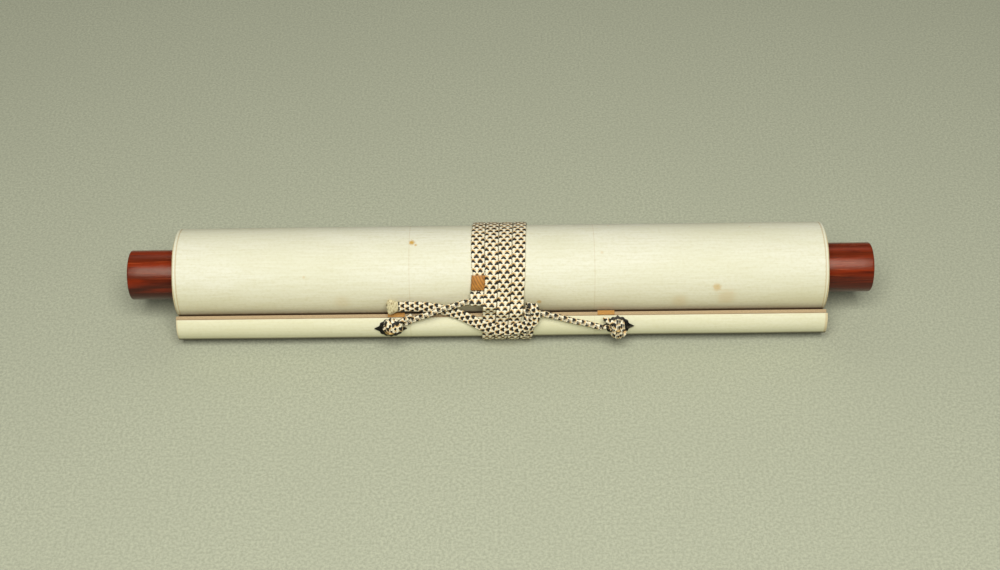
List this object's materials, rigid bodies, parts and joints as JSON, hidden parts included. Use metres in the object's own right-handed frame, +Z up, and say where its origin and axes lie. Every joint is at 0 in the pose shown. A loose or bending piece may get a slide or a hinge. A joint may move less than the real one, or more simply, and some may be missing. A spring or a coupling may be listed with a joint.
{
  "type": "rolled hanging scroll",
  "caption": "Hanging scroll rolled on a rod with two turned knobs, its half-round stave, eyelets and hanging cord tied up with a flat braided cord.",
  "frame": {"origin": "on the resting plane, under the middle of the flat stretch of the tie cord between roll and stave, halfway along the roll", "axes": "+X along the roll, +Y from the stave towards the roll, +Z up"},
  "size_m": [0.4546, 0.0741, 0.0605],
  "materials": {
    "rosewood": "polished dark red rosewood with streaked grain",
    "softwood": "plain planed softwood",
    "backing_paper": "matte cream laminated backing paper with fine fibres",
    "brown_cloth": "brown woven silk",
    "orange_silk": "orange-gold woven silk",
    "brass": "aged brass wire",
    "dark_iron": "dark patinated metal, scalloped",
    "tan_leather": "tan leather with fine diagonal texture",
    "braided_silk": "cream flat braid with rows of black and brown chevrons"
  },
  "bodies": {
    "scroll": {"eyelet_left": "brass", "eyelet_right": "brass", "hanging_cord": "braided_silk", "hanging_cord_knot_left": "braided_silk", "hanging_cord_knot_right": "braided_silk", "leather_collar": "tan_leather", "sheet_artwork": "backing_paper", "sheet_lower_mount": "backing_paper", "sheet_stave_wrap": "backing_paper", "sheet_upper_mount": "backing_paper", "stave": "softwood", "stave_front_cloth": "brown_cloth", "tie_cord_end": "braided_silk", "tie_cord_loop": "braided_silk", "tie_cord_tail": "braided_silk", "tie_cord_turns": "braided_silk", "washer_left": "dark_iron", "washer_right": "dark_iron", "wind_band_left": "orange_silk", "wind_band_right": "orange_silk"},
    "roller": {"roller_rod": "softwood", "roller_knob_left": "rosewood", "roller_knob_right": "rosewood", "sheet_pasted_wrap": "backing_paper"}
  },
  "joints": [
    {"name": "roller_turn", "type": "hinge", "parent": "scroll", "child": "roller", "pos_m": [0, 0.01205, 0.0305], "axis": [1, 0, 0], "range_deg": [-45, 45]}
  ]
}
